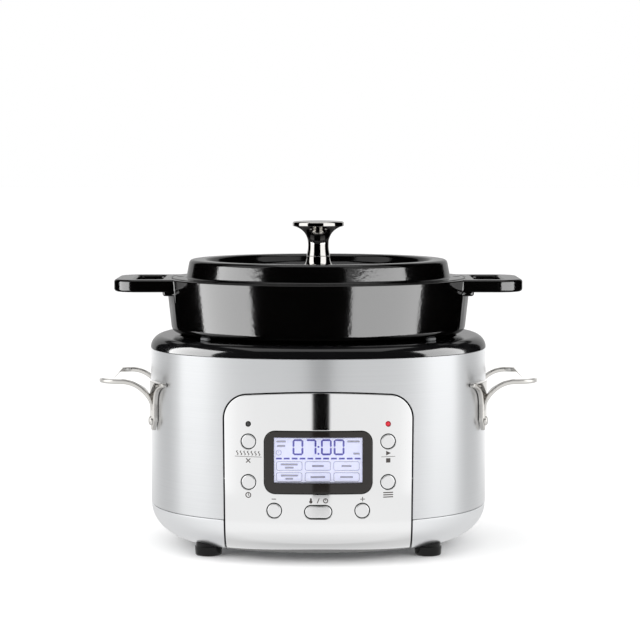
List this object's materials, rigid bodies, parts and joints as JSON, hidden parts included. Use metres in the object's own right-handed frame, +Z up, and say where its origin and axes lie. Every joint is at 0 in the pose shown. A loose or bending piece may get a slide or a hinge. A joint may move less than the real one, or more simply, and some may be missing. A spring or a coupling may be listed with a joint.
{
  "type": "electric dutch oven",
  "caption": "Countertop electric dutch oven: a powered steel base with a control fascia and display, holding a cast enamelled pot with two loop handles and a knobbed lid.",
  "frame": {"origin": "on the table under the middle of the base, at the lowest point of the feet", "axes": "+Z up, -Y towards the user (the control fascia), +X to the viewer's right along the line of the handles"},
  "size_m": [0.387, 0.289, 0.2883],
  "materials": {
    "brushed_steel": "brushed stainless steel, grain running round the casing",
    "polished_steel": "polished stainless steel",
    "satin_silver": "satin silver",
    "gloss_black": "gloss black",
    "matt_black": "matt black",
    "black_enamel": "glossy black enamel on cast iron",
    "black_rubber": "moulded rubber",
    "grey_silicone": "soft silicone",
    "cast_aluminium": "bare casting, machined on top",
    "zinc_steel": "zinc plated sheet and wire",
    "button_silver": "silver lacquered plastic",
    "display_dark": "smoked gloss plastic",
    "display_glass": "clear window",
    "display_lit": "backlit pale display with blue segments",
    "board_green": "circuit board",
    "lamp_dark": "unlit indicator",
    "lamp_red": "lit red indicator",
    "brass": "bare"
  },
  "bodies": {
    "base": {"outer_shell": "brushed_steel", "lower_skirt": "satin_silver", "control_fascia": "polished_steel", "top_rim": "gloss_black", "inner_liner": "zinc_steel", "heat_shield": "zinc_steel", "base_plate": "zinc_steel", "handle_left": "polished_steel", "handle_right": "polished_steel", "power_inlet": "matt_black", "display_bezel": "display_dark", "display_window": "display_glass", "lcd_panel": "display_lit", "control_board": "board_green", "power_board": "board_green", "lamp_left": "lamp_dark", "lamp_right": "lamp_red", "heater_plate": "cast_aluminium", "heating_element": "zinc_steel", "sensor_spring": "zinc_steel", "sensor_bracket": "zinc_steel", "thermal_fuse": "brass", "pot_pad_left_front": "grey_silicone", "foot_left_front": "black_rubber", "foot_screw_left_front": "zinc_steel", "handle_bolt_left_front": "polished_steel", "handle_nut_left_front": "zinc_steel", "pot_pad_left_rear": "grey_silicone", "foot_left_rear": "black_rubber", "foot_screw_left_rear": "zinc_steel", "handle_bolt_left_rear": "polished_steel", "handle_nut_left_rear": "zinc_steel", "pot_pad_right_front": "grey_silicone", "foot_right_front": "black_rubber", "foot_screw_right_front": "zinc_steel", "handle_bolt_right_front": "polished_steel", "handle_nut_right_front": "zinc_steel", "pot_pad_right_rear": "grey_silicone", "foot_right_rear": "black_rubber", "foot_screw_right_rear": "zinc_steel", "handle_bolt_right_rear": "polished_steel", "handle_nut_right_rear": "zinc_steel"},
    "pot": {"pot": "black_enamel"},
    "lid": {"lid": "black_enamel", "lid_knob": "polished_steel", "knob_collar": "polished_steel", "knob_screw": "zinc_steel", "knob_washer": "zinc_steel"},
    "sensor": {"temperature_sensor": "cast_aluminium"},
    "button_keep_warm": {"button_keep_warm": "button_silver"},
    "button_preset": {"button_preset": "button_silver"},
    "button_start": {"button_start": "button_silver"},
    "button_menu": {"button_menu": "button_silver"},
    "button_minus": {"button_minus": "button_silver"},
    "button_plus": {"button_plus": "button_silver"},
    "button_mode": {"button_mode": "button_silver"}
  },
  "joints": [
    {"name": "pot_lift", "type": "slide", "parent": "base", "child": "pot", "axis": [0, 0, 1], "range_m": [0, 0.124]},
    {"name": "lid_lift", "type": "slide", "parent": "pot", "child": "lid", "axis": [0, 0, 1], "range_m": [0, 0.07]},
    {"name": "button_keep_warm_press", "type": "slide", "parent": "base", "child": "button_keep_warm", "axis": [0, 1, 0], "range_m": [0, 0.001], "stiffness_N_per_m": 900},
    {"name": "button_preset_press", "type": "slide", "parent": "base", "child": "button_preset", "axis": [0, 1, 0], "range_m": [0, 0.001], "stiffness_N_per_m": 900},
    {"name": "button_start_press", "type": "slide", "parent": "base", "child": "button_start", "axis": [0, 1, 0], "range_m": [0, 0.001], "stiffness_N_per_m": 900},
    {"name": "button_menu_press", "type": "slide", "parent": "base", "child": "button_menu", "axis": [0, 1, 0], "range_m": [0, 0.001], "stiffness_N_per_m": 900},
    {"name": "button_minus_press", "type": "slide", "parent": "base", "child": "button_minus", "axis": [0, 1, 0], "range_m": [0, 0.001], "stiffness_N_per_m": 900},
    {"name": "button_plus_press", "type": "slide", "parent": "base", "child": "button_plus", "axis": [0, 1, 0], "range_m": [0, 0.001], "stiffness_N_per_m": 900},
    {"name": "button_mode_press", "type": "slide", "parent": "base", "child": "button_mode", "axis": [0, 1, 0], "range_m": [0, 0.001], "stiffness_N_per_m": 900},
    {"name": "sensor_press", "type": "slide", "parent": "base", "child": "sensor", "axis": [0, 0, 1], "range_m": [-0.0015, 0], "stiffness_N_per_m": 400, "springref_m": 0.0015, "deforming": ["sensor_spring"]}
  ]
}
